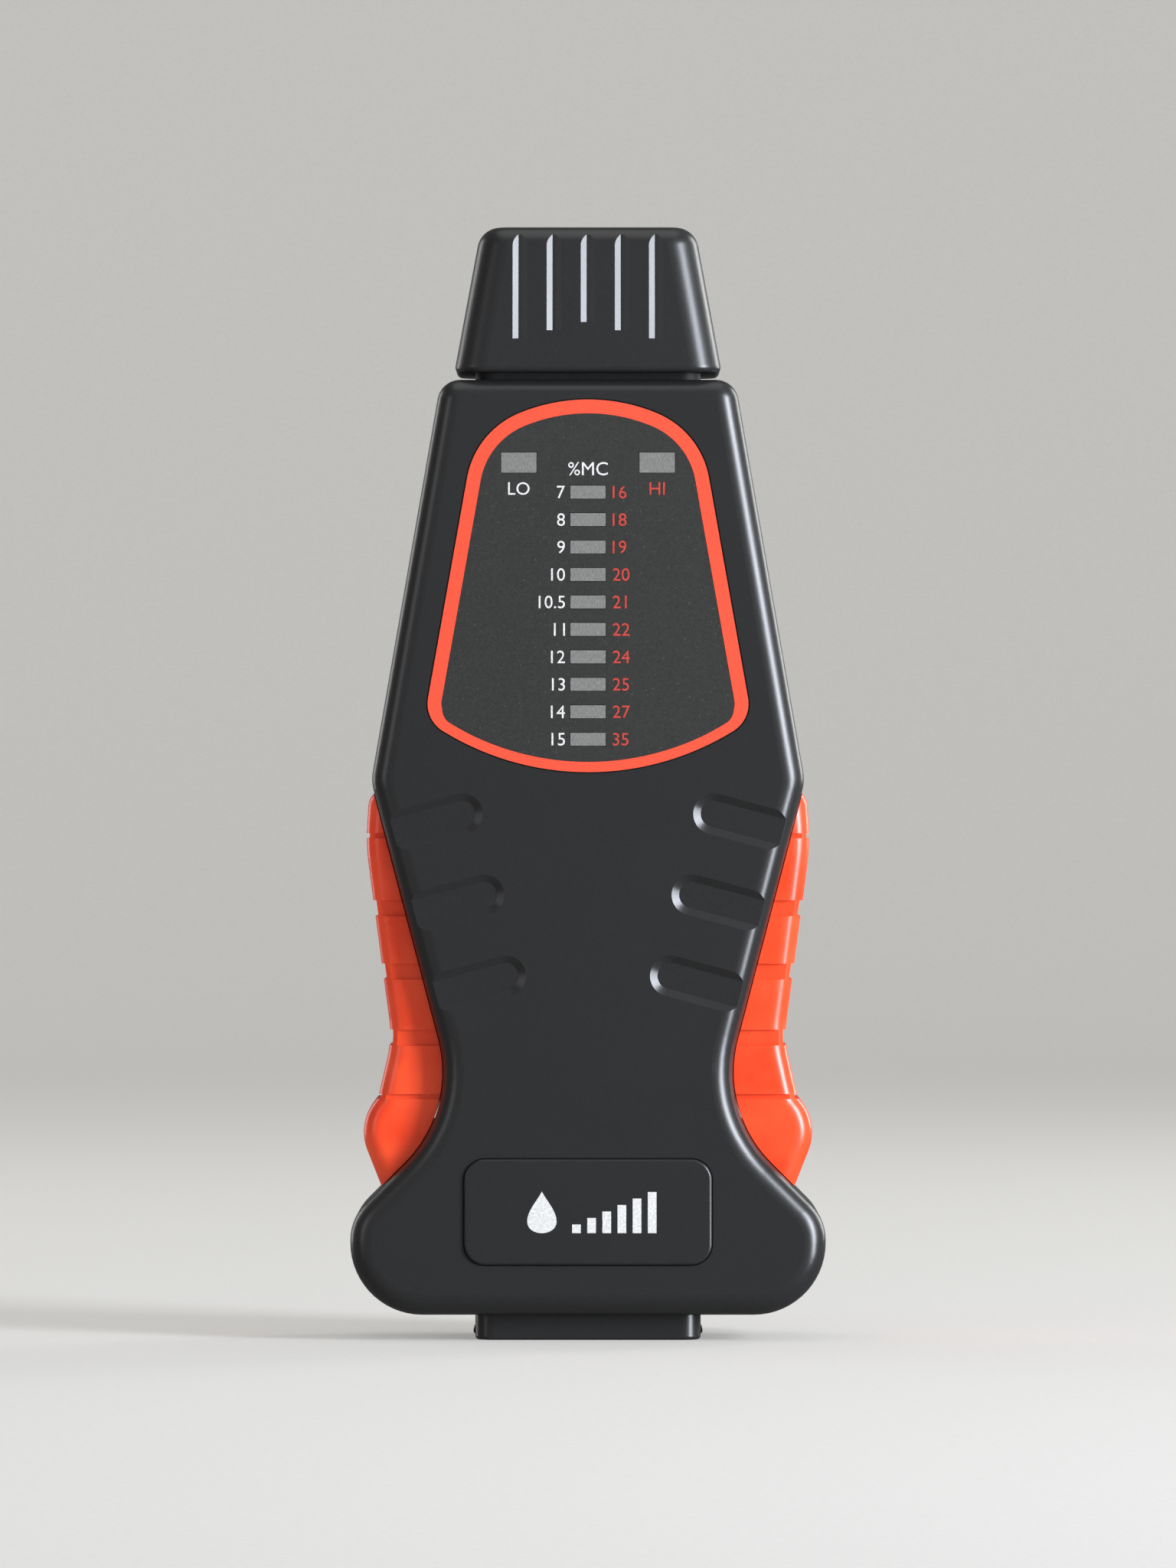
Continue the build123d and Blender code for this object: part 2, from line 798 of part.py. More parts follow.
# Rectangular diodes standing on the board with their faces flush with the overlay
for name, (x, level, height) in led_places.items():
    with BuildPart() as led:
        with BuildSketch(facing(board_front)):
            with Locations((x, level)):
                Rectangle(led_width, height)
        extrude(amount=board_front - overlay_face)
        with BuildSketch(facing(board_front)):
            with Locations((x - lead_spacing / 2, level), (x + lead_spacing / 2, level)):
                Rectangle(lead_width, lead_width)
        extrude(amount=-board_thickness - lead_tail)
    save(led, name)

with BuildPart() as led_frame:
    frame_height = led_pitch * (led_count - 1) + led_height + 2 * wall
    with BuildSketch(facing(board_front)):
        with Locations((0, (led_levels[0] + led_levels[-1]) / 2)):
            Rectangle(led_width + 2 * wall, frame_height)
        for level in led_levels:
            with Locations((0, level)):
                Rectangle(led_width + seat_gap, led_height + seat_gap, mode=Mode.SUBTRACT)
    extrude(amount=board_standoff - stack_gap)
save(led_frame, "led_frame")


def save_board_block(name, x, level, width, height, thickness, holes=()):
    """A moulded component lying on the board's rear face."""
    with BuildPart() as block:
        with BuildSketch(facing(board_rear + thickness)):
            with Locations((x, level)):
                Rectangle(width, height)
        extrude(amount=thickness)
        chamfer(block.faces().sort_by(Axis.Y)[-1].edges(), length=lead_gap)
        for hole_diameter, depth in holes:
            with BuildSketch(facing(board_rear + thickness)):
                with Locations((x, level)):
                    Circle(hole_diameter / 2)
            extrude(amount=depth, mode=Mode.SUBTRACT)
    save(block, name)


trimmer_place = (-chip_column, board_top - trimmer_drop)
save_board_block("display_driver", chip_column, board_top - driver_drop, chip_width, driver_height,
                 chip_thickness)
save_board_block("amplifier", -chip_column, board_top - amplifier_drop, chip_width, amplifier_height,
                 chip_thickness)
save_board_block("trimmer_body", *trimmer_place, trimmer_width, trimmer_width, trimmer_thickness,
                 holes=[(rotor_diameter + 2 * lead_gap, rotor_thickness)])
save_board_block("tact_switch", 0, button_level, switch_width, switch_width, switch_height,
                 holes=[(switch_stem_diameter + 2 * lead_gap, switch_well)])

with BuildPart() as trimmer_rotor:
    rotor_seat = board_rear + trimmer_thickness - rotor_thickness + lead_gap
    with BuildSketch(facing(rotor_seat)):
        with Locations(trimmer_place):
            Circle(rotor_diameter / 2)
    extrude(amount=-rotor_thickness)
    with BuildSketch(facing(rotor_seat + rotor_thickness)):
        with Locations(trimmer_place):
            Rectangle(rotor_diameter - slot_spare, rotor_slot_width)
    extrude(amount=rotor_thickness / 2, mode=Mode.SUBTRACT)
save(trimmer_rotor, "trimmer_rotor")

with BuildPart() as resistors:
    with BuildSketch(Plane.YZ.offset(-board_width / 2 + resistor_inset)):
        for number in range(resistor_count):
            level = board_top - resistor_drop - resistor_pitch * number
            with Locations((board_rear + resistor_diameter / 2 + lead_gap, level)):
                Circle(resistor_diameter / 2)
    extrude(amount=resistor_length)
save(resistors, "resistors")

with BuildPart() as capacitors:
    with BuildSketch(facing(board_rear + capacitor_height)):
        for drop in capacitor_drops:
            with Locations((chip_column, board_top - drop)):
                Circle(capacitor_diameter / 2)
    extrude(amount=capacitor_height)
    rims = capacitors.edges().filter_by(GeomType.CIRCLE).group_by(Axis.Y)[-1]
    fillet(rims, radius=capacitor_rim_round)
save(capacitors, "capacitors")

# ---- Screws --------------------------------------------------------------------------------------


def save_screws(name, places, seat, diameter, length, head_diameter, head_height):
    """Pan-head screws driven from behind, heads seated at depth seat."""
    slot_length = screw_slot_length_share * head_diameter
    slot_width = screw_slot_width_share * head_diameter
    with BuildPart() as screws:
        with BuildSketch(facing(seat + head_height)):
            with Locations(*places):
                Circle(head_diameter / 2)
        extrude(amount=head_height)
        fillet(screws.edges().filter_by(GeomType.CIRCLE).group_by(Axis.Y)[-1], radius=head_height / 3)
        with BuildSketch(facing(seat + head_height)):
            with Locations(*places):
                Rectangle(slot_length, slot_width)
                Rectangle(slot_width, slot_length)
        extrude(amount=head_height / 2, mode=Mode.SUBTRACT)
        with BuildSketch(facing(seat)):
            with Locations(*places):
                Circle(diameter / 2)
        extrude(amount=length)
        chamfer(screws.edges().filter_by(GeomType.CIRCLE).group_by(Axis.Y)[0], length=diameter / 5)
    save(screws, name)


save_screws("housing_screws", screw_places, screw_seat, screw_diameter, screw_length,
            screw_head_diameter, screw_head_height)
save_screws("board_screws", board_screw_places, board_rear, board_screw_diameter, board_screw_length,
            board_screw_head_diameter, board_screw_head_height)

# ---- Power button and the switch's stem ----------------------------------------------------------

with BuildPart() as power_button:
    with BuildSketch(facing(button_face)):
        with Locations((0, button_level)):
            Circle(button_diameter / 2)
    flange_face = rear_inner - button_gap
    extrude(amount=button_face - flange_face)
    fillet(power_button.faces().sort_by(Axis.Y)[-1].edges(), radius=button_rim_round)
    with BuildSketch(facing(flange_face)):
        with Locations((0, button_level)):
            Circle(button_diameter / 2 + button_flange)
    extrude(amount=button_flange_thickness)
    with BuildSketch(facing(flange_face - button_flange_thickness)):
        with Locations((0, button_level)):
            Circle(button_post_diameter / 2)
    extrude(amount=flange_face - button_flange_thickness - stem_end)
    # Shallow dish for the fingertip
    with Locations((0, button_face + button_dish_radius - button_stand, button_level)):
        Sphere(button_dish_radius, mode=Mode.SUBTRACT)
save(power_button, "power_button")

with BuildPart() as switch_stem:
    with BuildSketch(facing(stem_end)):
        with Locations((0, button_level)):
            Circle(switch_stem_diameter / 2)
    extrude(amount=switch_stem_length + switch_well - button_travel - stop_gap)
save(switch_stem, "switch_stem")

# ---- Battery, its snap clip and leads ------------------------------------------------------------

with BuildPart() as battery:
    with BuildSketch(Plane.XY.offset(battery_level)):
        with Locations((0, battery_middle)):
            RectangleRounded(battery_width, battery_depth, battery_corner_round)
    extrude(amount=battery_can_height)
    fillet(battery.faces().sort_by(Axis.Z)[0].edges(), radius=battery_rim_round)
    with BuildSketch(Plane.XY.offset(battery_top)):
        with Locations((-stud_spacing / 2, battery_middle)):
            Circle(stud_diameter / 2)
        with Locations((stud_spacing / 2, battery_middle)):
            Circle(ring_diameter / 2)
            Circle(stud_diameter / 2 + lead_gap, mode=Mode.SUBTRACT)
    extrude(amount=stud_height)
save(battery, "battery")

with BuildPart() as battery_clip:
    with BuildSketch(Plane.XY.offset(clip_bottom)):
        with Locations((0, battery_middle)):
            RectangleRounded(battery_width - 2 * clip_inset, clip_depth, clip_round)
    extrude(amount=clip_thickness)
    with BuildSketch(Plane.XY.offset(battery_top + stack_gap)):
        with Locations((stud_spacing / 2, battery_middle)):
            Circle(stud_diameter / 2)
        with Locations((-stud_spacing / 2, battery_middle)):
            Circle(ring_diameter / 2)
            Circle(stud_diameter / 2 + lead_gap, mode=Mode.SUBTRACT)
    extrude(amount=stud_height)
save(battery_clip, "battery_clip")

for side, word in ((-1, "negative"), (1, "positive")):
    across = side * lead_spacing_x / 2
    with BuildPart() as lead:
        with BuildLine() as route:
            FilletPolyline(
                (across, battery_middle, clip_top),
                (across, battery_middle, lead_level),
                (across, board_rear, lead_level),
                radius=lead_bend,
            )
        with BuildSketch(Plane(origin=route.line @ 0, z_dir=route.line % 0)):
            Circle(lead_diameter / 2)
        sweep()
    save(lead, f"battery_lead_{word}")

# ---- Battery door and its foam pad ---------------------------------------------------------------

with BuildPart() as battery_door:
    with BuildSketch(facing(rear_inner)):
        with Locations((0, door_middle)):
            RectangleRounded(door_width - 2 * door_gap, door_height - 2 * door_gap, door_round - door_gap)
    extrude(amount=-wall)
    # Lugs that hook behind the rear cover's lower edge
    with BuildSketch(facing(rear_inner)):
        with Locations((-door_lug_spacing / 2, door_bottom), (door_lug_spacing / 2, door_bottom)):
            Rectangle(door_lug_width, 2 * door_lug_drop)
    extrude(amount=door_lug_thickness)
    with BuildSketch(facing(rear_inner)):
        with Locations((-door_lug_spacing / 2, door_bottom), (door_lug_spacing / 2, door_bottom)):
            Rectangle(door_lug_width + slot_spare, 2 * door_gap)
            with Locations((0, -door_lug_drop / 2)):
                Rectangle(door_lug_width + slot_spare, door_lug_drop + 2 * door_gap)
    extrude(amount=door_gap, mode=Mode.SUBTRACT)
    # Thumb ribs below the notch, as grooves between them
    with BuildSketch(facing(rear)):
        for number in range(door_rib_count):
            with Locations((0, door_top - door_rib_drop - door_rib_pitch * number)):
                SlotOverall(thumb_notch_width, door_rib_pitch / 2)
    extrude(amount=door_rib_depth, mode=Mode.SUBTRACT)
save(battery_door, "battery_door")

with BuildPart() as battery_pad:
    with BuildSketch(facing(rear_inner)):
        with Locations((0, battery_level + battery_can_height / 2)):
            RectangleRounded(battery_width - 2 * pad_inset, battery_can_height / 2, pad_round)
    extrude(amount=pad_thickness)
save(battery_pad, "battery_pad")
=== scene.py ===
"""Looks of a handheld two-pin moisture meter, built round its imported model. Metres, Z up, scale facing -Y."""

import math

import bmesh
import bpy
import numpy as np
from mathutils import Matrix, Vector


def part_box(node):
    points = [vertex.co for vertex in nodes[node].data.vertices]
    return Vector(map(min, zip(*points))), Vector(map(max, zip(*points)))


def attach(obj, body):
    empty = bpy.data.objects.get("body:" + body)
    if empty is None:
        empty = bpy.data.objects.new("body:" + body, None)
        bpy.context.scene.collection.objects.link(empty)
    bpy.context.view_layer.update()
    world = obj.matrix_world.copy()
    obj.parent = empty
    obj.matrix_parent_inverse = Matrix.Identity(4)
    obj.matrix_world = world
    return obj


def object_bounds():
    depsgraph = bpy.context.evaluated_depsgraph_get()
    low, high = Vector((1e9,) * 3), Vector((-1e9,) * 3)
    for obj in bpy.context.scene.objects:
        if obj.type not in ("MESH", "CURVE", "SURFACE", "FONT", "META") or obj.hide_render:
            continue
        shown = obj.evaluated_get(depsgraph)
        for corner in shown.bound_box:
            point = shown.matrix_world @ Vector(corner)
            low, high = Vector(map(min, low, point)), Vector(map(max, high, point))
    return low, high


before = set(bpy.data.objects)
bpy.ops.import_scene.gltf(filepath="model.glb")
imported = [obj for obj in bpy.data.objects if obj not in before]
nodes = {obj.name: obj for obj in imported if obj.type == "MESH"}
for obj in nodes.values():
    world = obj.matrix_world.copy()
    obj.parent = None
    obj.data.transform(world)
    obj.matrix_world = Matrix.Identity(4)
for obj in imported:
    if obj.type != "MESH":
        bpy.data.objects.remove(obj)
cad_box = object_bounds()

MM = 0.001
SAME_POINT = 1e-7

# ---- Small helpers --------------------------------------------------------------------------------


def linear(hex_colour, alpha=1.0):
    """An sRGB hex colour as linear RGBA."""
    parts = [int(hex_colour[i : i + 2], 16) / 255 for i in (1, 3, 5)]
    return (*[c / 12.92 if c <= 0.04045 else ((c + 0.055) / 1.055) ** 2.4 for c in parts], alpha)


def add(tree, kind, settings=None, links=None):
    """A node with its properties or socket values, and what feeds its sockets."""
    made = tree.nodes.new(kind)
    for key, value in (settings or {}).items():
        if isinstance(key, int) or key in made.inputs:
            made.inputs[key].default_value = value
        else:
            setattr(made, key, value)
    for key, source in (links or {}).items():
        tree.links.new(source, made.inputs[key])
    return made


def finish_named(name, sockets):
    """A material whose shader has these socket values, with its tree, its shader and its patterns' place."""
    material = bpy.data.materials.new(name)
    material.use_nodes = True
    tree = material.node_tree
    shader = next(n for n in tree.nodes if n.type == "BSDF_PRINCIPLED")
    for socket, value in sockets.items():
        shader.inputs[socket].default_value = value
    place = add(tree, "ShaderNodeTexCoord").outputs["Object"]
    return material, tree, shader, place


def tint(tree, shader, source, dark, pale):
    """Base colour that runs from dark to pale as the source runs from 0 to 1."""
    ramp = add(tree, "ShaderNodeValToRGB", links={"Fac": source})
    ramp.color_ramp.elements[0].position = 0.3
    ramp.color_ramp.elements[0].color = linear(dark)
    ramp.color_ramp.elements[1].position = 0.7
    ramp.color_ramp.elements[1].color = linear(pale)
    tree.links.new(ramp.outputs["Color"], shader.inputs["Base Color"])
    return ramp.outputs["Color"]


def vary_roughness(tree, shader, source, smooth, rough):
    """Roughness that runs from smooth to rough as the source runs from 0 to 1."""
    spread = add(tree, "ShaderNodeMapRange", {"To Min": smooth, "To Max": rough}, {"Value": source})
    tree.links.new(spread.outputs["Result"], shader.inputs["Roughness"])


def roughen(tree, shader, height, strength, relief_mm):
    """A relief too fine to model, this many millimetres high."""
    bump = add(tree, "ShaderNodeBump", {"Strength": strength, "Distance": relief_mm * MM}, {"Height": height})
    tree.links.new(bump.outputs["Normal"], shader.inputs["Normal"])


def noise(tree, place, size_mm, detail=3):
    """Noise whose features are about size_mm across."""
    made = add(tree, "ShaderNodeTexNoise", {"Scale": 1 / (size_mm * MM), "Detail": detail}, {"Vector": place})
    return made.outputs["Fac"]


def dress(material, *names):
    """Give CAD nodes this material in every slot."""
    for name in names:
        for slot in nodes[name].material_slots:
            slot.material = material


def piece_from(name, mesh, material, body):
    """A finished mesh as a piece that rides on a body."""
    mesh.name = name
    mesh.materials.clear()
    mesh.materials.append(material)
    made = bpy.data.objects.new(name, mesh)
    bpy.context.scene.collection.objects.link(made)
    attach(made, body)
    return made


def closed_mesh(vertices, faces):
    """A mesh with its faces turned outwards."""
    mesh = bpy.data.meshes.new("closed")
    mesh.from_pydata([tuple(v) for v in vertices], [], faces)
    shell = bmesh.new()
    shell.from_mesh(mesh)
    bmesh.ops.recalc_face_normals(shell, faces=shell.faces)
    shell.to_mesh(mesh)
    shell.free()
    return mesh


def strip_mesh(outer, inner, front, back, ring=True):
    """A flat band between two rows of (x, z), from y = front(x, z) to back(x, z), closed or with two ends."""
    count = len(outer)
    vertices = []
    for row, depth in ((outer, front), (inner, front), (inner, back), (outer, back)):
        vertices += [(x, depth(x, z), z) for x, z in row]
    faces = []
    for i in range(count if ring else count - 1):
        j = (i + 1) % count
        for side in range(4):
            a, b = side * count, (side + 1) % 4 * count
            faces.append((a + i, a + j, b + j, b + i))
    if not ring:
        faces += [tuple(side * count + end for side in range(4)) for end in (0, count - 1)]
    return closed_mesh(vertices, faces)


def slab_mesh(outline, front, back):
    """A flat shape with the outline (x, z), from y = front(x, z) to back(x, z)."""
    count = len(outline)
    vertices = [(x, depth(x, z), z) for depth in (front, back) for x, z in outline]
    faces = [tuple(range(count)), tuple(range(count, 2 * count))]
    faces += [(i, (i + 1) % count, count + (i + 1) % count, count + i) for i in range(count)]
    return closed_mesh(vertices, faces)


def level_at(y):
    """A depth that is the same everywhere, for the flat shapes above."""
    return lambda x, z: y


# ---- Materials ------------------------------------------------------------------------------------

BATTERY_BAND = 14 * MM
BAND_EDGE = 0.1 * MM


def moulded_abs():
    """Black ABS from a fine spark-eroded mould: a charcoal satin whose highlights are soft and cool."""
    material, tree, shader, place = finish_named("moulded_black_abs", {"IOR": 1.54})
    grain = noise(tree, place, 0.25)
    tint(tree, shader, grain, "#202020", "#262626")
    vary_roughness(tree, shader, noise(tree, place, 12, 4), 0.29, 0.36)
    roughen(tree, shader, grain, 0.3, 0.015)
    return material


def soft_grip():
    """Orange thermoplastic rubber, moulded glossy: smooth, even and a little waxy."""
    material, tree, shader, place = finish_named("orange_soft_rubber", {"IOR": 1.5})
    waves = noise(tree, place, 6)
    tint(tree, shader, waves, "#E63C17", "#F04E26")
    vary_roughness(tree, shader, waves, 0.24, 0.34)
    roughen(tree, shader, noise(tree, place, 0.4, 2), 0.1, 0.015)
    return material


def printed_film():
    """Textured polyester film printed charcoal: matt, with sparse pale specks in the ink."""
    material, tree, shader, place = finish_named("charcoal_overlay_film", {"Roughness": 0.55, "IOR": 1.5})
    grain = noise(tree, place, 0.25, 2)
    ink = tint(tree, shader, grain, "#1F1F1C", "#2B2B27")
    speck_pitch = 0.9 * MM
    cells = add(tree, "ShaderNodeTexVoronoi", {"Scale": 1 / speck_pitch}, {"Vector": place})
    dot = add(tree, "ShaderNodeMapRange", {"From Min": 0.05, "From Max": 0.12, "To Min": 0.45, "To Max": 0.0},
              {"Value": cells.outputs["Distance"]})
    mixed = add(tree, "ShaderNodeMix", {"data_type": "RGBA"}, {0: dot.outputs["Result"], 6: ink})
    mixed.inputs[7].default_value = linear("#63635F")
    tree.links.new(mixed.outputs[2], shader.inputs["Base Color"])
    roughen(tree, shader, grain, 0.25, 0.015)
    return material


def screen_ink(name, dark, pale):
    """Screen-printed ink: a dense matt film that thins a little between the threads of the screen."""
    material, tree, shader, place = finish_named(name, {"Roughness": 0.5, "IOR": 1.5})
    threads = noise(tree, place, 0.3, 2)
    tint(tree, shader, threads, dark, pale)
    roughen(tree, shader, threads, 0.2, 0.01)
    return material


def diffused_lens():
    """Milky grey epoxy of an unlit diffused diode, with the fine upright hatch of its moulded face."""
    material, tree, shader, place = finish_named(
        "milky_led_epoxy",
        {"Roughness": 0.35, "IOR": 1.52, "Subsurface Weight": 0.15, "Subsurface Scale": 1.0,
         "Subsurface Radius": (0.5 * MM, 0.5 * MM, 0.5 * MM)},
    )
    upright = add(tree, "ShaderNodeMapping", {"Scale": (1, 1, 0.3)}, {"Vector": place})
    tint(tree, shader, noise(tree, upright.outputs["Vector"], 0.16, 1), "#666663", "#80807D")
    return material


def small_part(name, dark, pale, roughness, mottle_mm, metallic=0.0):
    """A small moulded, coated or plated part: a mottled tint, and a roughness that follows the mottle."""
    material, tree, shader, place = finish_named(name, {"Metallic": metallic})
    mottle = noise(tree, place, mottle_mm)
    tint(tree, shader, mottle, dark, pale)
    vary_roughness(tree, shader, mottle, roughness - 0.06, roughness + 0.06)
    return material


def ground_steel():
    """Pins ground to a point: bright steel with fine rings round the pin from the wheel."""
    material, tree, shader, place = finish_named("ground_pin_steel", {"Metallic": 1.0})
    rings = add(tree, "ShaderNodeMapping", {"Scale": (0.05, 0.05, 1)}, {"Vector": place})
    turning = noise(tree, rings.outputs["Vector"], 0.15, 2)
    tint(tree, shader, turning, "#A4A4A6", "#C4C4C6")
    vary_roughness(tree, shader, turning, 0.16, 0.3)
    roughen(tree, shader, turning, 0.15, 0.01)
    return material


def battery_jacket():
    """Lacquered steel can of a block battery: black below a copper-coloured shoulder band."""
    material, tree, shader, place = finish_named("lacquered_battery_steel", {"Metallic": 0.6})
    height = add(tree, "ShaderNodeSeparateXYZ", links={"Vector": place}).outputs["Z"]
    band_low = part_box("battery")[1].z - BATTERY_BAND
    step = add(tree, "ShaderNodeMapRange", {"From Min": band_low, "From Max": band_low + BAND_EDGE},
               {"Value": height})
    ramp = add(tree, "ShaderNodeValToRGB", links={"Fac": step.outputs["Result"]})
    ramp.color_ramp.elements[0].color = linear("#161617")
    ramp.color_ramp.elements[1].color = linear("#A8683A")
    tree.links.new(ramp.outputs["Color"], shader.inputs["Base Color"])
    vary_roughness(tree, shader, noise(tree, place, 2), 0.22, 0.34)
    return material


def fibreglass_board():
    """Green solder mask over fibreglass: glossy, with the weave and the copper runs faintly showing."""
    material, tree, shader, place = finish_named("green_solder_mask", {"Roughness": 0.3, "IOR": 1.5})
    copper = add(tree, "ShaderNodeTexBrick", {"Scale": 1 / (6 * MM), "Mortar Size": 0.06}, {"Vector": place})
    copper.inputs["Color1"].default_value = linear("#0C3D1E")
    copper.inputs["Color2"].default_value = linear("#0F4824")
    copper.inputs["Mortar"].default_value = linear("#1C6B38")
    tree.links.new(copper.outputs["Color"], shader.inputs["Base Color"])
    roughen(tree, shader, noise(tree, place, 0.5, 2), 0.15, 0.01)
    return material


ABS = moulded_abs()
WHITE_INK = screen_ink("white_screen_ink", "#B8B8B6", "#DADAD8")
RED_INK = screen_ink("red_screen_ink", "#9E2E24", "#C63E32")
ORANGE_INK = screen_ink("orange_screen_ink", "#DE4126", "#EA4A2C")

dress(ABS, "front_cover", "rear_cover", "cap", "parking_block", "battery_door", "badge_plate")
dress(soft_grip(), "left_grip", "right_grip", "power_button")
dress(printed_film(), "display_overlay")
dress(diffused_lens(), *[name for name in nodes if name.startswith("led_") and name != "led_frame"])
dress(small_part("black_nylon", "#161616", "#1D1D1D", 0.62, 0.8),
      "pin_block", "led_frame", "battery_clip", "tact_switch", "switch_stem")
dress(ground_steel(), "electrode_pin_left", "electrode_pin_right")
dress(small_part("turned_brass", "#B08A44", "#D0AC62", 0.3, 0.7, 1.0),
      "pin_socket_left", "pin_socket_right", "contact_strip_left", "contact_strip_right")
dress(small_part("blackened_screw_steel", "#3A3A3C", "#5A5A5E", 0.36, 0.5, 1.0),
      "housing_screws", "board_screws")
dress(fibreglass_board(), "main_board")
dress(small_part("black_chip_epoxy", "#17171A", "#242427", 0.55, 0.4), "display_driver", "amplifier")
dress(small_part("blue_trimmer_nylon", "#123C96", "#1B4CB0", 0.4, 0.8), "trimmer_body")
dress(small_part("white_nylon", "#D0D0CA", "#E2E2DC", 0.45, 0.8), "trimmer_rotor")
dress(small_part("beige_resistor_lacquer", "#BFA374", "#D2B98C", 0.35, 0.7), "resistors")
dress(small_part("navy_capacitor_sleeve", "#0C1024", "#161C38", 0.35, 0.9), "capacitors")
dress(battery_jacket(), "battery")
dress(small_part("red_lead_insulation", "#8E1410", "#B01E18", 0.4, 0.6), "battery_lead_positive")
dress(small_part("black_lead_insulation", "#121212", "#1E1E1E", 0.4, 0.6), "battery_lead_negative")
dress(small_part("grey_foam", "#2E2E30", "#4A4A4C", 0.9, 0.5), "battery_pad")

# ---- Printed border of the display ----------------------------------------------------------------

INK_THICKNESS = 0.03 * MM
INK_KEY = 0.02 * MM
BORDER_SIDE = 1.95 * MM
BORDER_BASE = 1.45 * MM
BORDER_INSET = 0.05 * MM
BASE_SLOPE_START = 0.3
BASE_SLOPE_SPAN = 0.6

film_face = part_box("display_overlay")[0].y


def front_edge(name):
    """The outer edge of a plate's front face, in order: (x, z) points."""
    shell = bmesh.new()
    shell.from_mesh(nodes[name].data)
    bmesh.ops.remove_doubles(shell, verts=shell.verts, dist=SAME_POINT)
    facing = {face for face in shell.faces if face.normal.y < -0.99}
    near = {}
    for edge in shell.edges:
        if sum(face in facing for face in edge.link_faces) == 1:
            first, last = edge.verts
            near.setdefault(first, []).append(last)
            near.setdefault(last, []).append(first)
    loops = []
    while near:
        start = next(iter(near))
        loop, here, before = [], start, None
        while here in near:
            ways = near.pop(here)
            loop.append((here.co.x, here.co.z))
            before, here = here, next((v for v in ways if v is not before and v in near), start)
        loops.append(loop)
    shell.free()
    return np.array(max(loops, key=lambda points: max(x for x, _ in points) - min(x for x, _ in points)))


def outward(points):
    """The unit normal away from the inside at each point of a closed outline."""
    along = np.roll(points, -1, axis=0) - np.roll(points, 1, axis=0)
    away = np.stack([along[:, 1], -along[:, 0]], axis=1)
    away /= np.linalg.norm(away, axis=1, keepdims=True)
    middle = points.mean(axis=0)
    return away if np.sum(away * (points - middle)) > 0 else -away


edge = front_edge("display_overlay")
away = outward(edge)
towards_base = np.clip((-away[:, 1] - BASE_SLOPE_START) / BASE_SLOPE_SPAN, 0, 1)[:, None]
border_width = BORDER_SIDE + (BORDER_BASE - BORDER_SIDE) * towards_base
border = strip_mesh(edge - away * BORDER_INSET, edge - away * border_width,
                    level_at(film_face - INK_THICKNESS), level_at(film_face + INK_KEY))
piece_from("display_border", border, ORANGE_INK, "root")

# ---- Printed scale --------------------------------------------------------------------------------

FIGURE_HEIGHT = 1.75 * MM
LOW_FIGURE_GAP = 0.75 * MM
HIGH_FIGURE_GAP = 0.975 * MM
WORD_DROP = 2.2 * MM
UNIT_RISE = 2.35 * MM
UNIT_HEIGHT = 1.05 * FIGURE_HEIGHT
LOW_FIGURES = ("7", "8", "9", "10", "10.5", "11", "12", "13", "14", "15")
HIGH_FIGURES = ("16", "18", "19", "20", "21", "22", "24", "25", "27", "35")


def text_mesh(text, height, side, x, z, y):
    """Type of this height on the plane at y, centred on z, with its side (-1 left, 0 middle, 1 right) at x.

    It is extruded so that it has two faces, which are then moved to the two faces of the ink.
    """
    type_curve = bpy.data.curves.new("type", "FONT")
    type_curve.body = text
    type_curve.resolution_u = 4
    type_curve.extrude = 0.01
    setter = bpy.data.objects.new("type", type_curve)
    bpy.context.scene.collection.objects.link(setter)
    bpy.context.view_layer.update()
    depsgraph = bpy.context.evaluated_depsgraph_get()
    mesh = bpy.data.meshes.new_from_object(setter.evaluated_get(depsgraph))
    bpy.data.objects.remove(setter)
    points = np.array([vertex.co for vertex in mesh.vertices])
    low, high = points.min(axis=0), points.max(axis=0)
    scale = height / (high[1] - low[1])
    start = {-1: low[0], 0: (low[0] + high[0]) / 2, 1: high[0]}[side]
    for vertex, (across, up, out) in zip(mesh.vertices, points):
        forward = INK_THICKNESS if out > 0 else -INK_KEY
        vertex.co = (x + (across - start) * scale, y - forward, z + (up - (low[1] + high[1]) / 2) * scale)
    return mesh


def joined(meshes):
    """Several meshes as one."""
    whole = bmesh.new()
    for mesh in meshes:
        whole.from_mesh(mesh)
    bmesh.ops.remove_doubles(whole, verts=whole.verts, dist=SAME_POINT)
    made = bpy.data.meshes.new("joined")
    whole.to_mesh(made)
    whole.free()
    return made


white, red = [], []
for number, (low_figure, high_figure) in enumerate(zip(LOW_FIGURES, HIGH_FIGURES)):
    low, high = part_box(f"led_scale_{number + 1:02d}")
    level = (low.z + high.z) / 2
    white.append(text_mesh(low_figure, FIGURE_HEIGHT, 1, low.x - LOW_FIGURE_GAP, level, film_face))
    red.append(text_mesh(high_figure, FIGURE_HEIGHT, -1, high.x + HIGH_FIGURE_GAP, level, film_face))
for node, word, ink in (("led_low", "LO", white), ("led_high", "HI", red)):
    low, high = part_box(node)
    ink.append(text_mesh(word, FIGURE_HEIGHT, 0, (low.x + high.x) / 2, low.z - WORD_DROP, film_face))
unit_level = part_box("led_scale_01")[1].z + UNIT_RISE
white.append(text_mesh("%MC", UNIT_HEIGHT, 0, 0, unit_level, film_face))
piece_from("scale_figures_low", joined(white), WHITE_INK, "root")
piece_from("scale_figures_high", joined(red), RED_INK, "root")

# ---- Mark on the badge: a water drop beside rising bars ---------------------------------------------

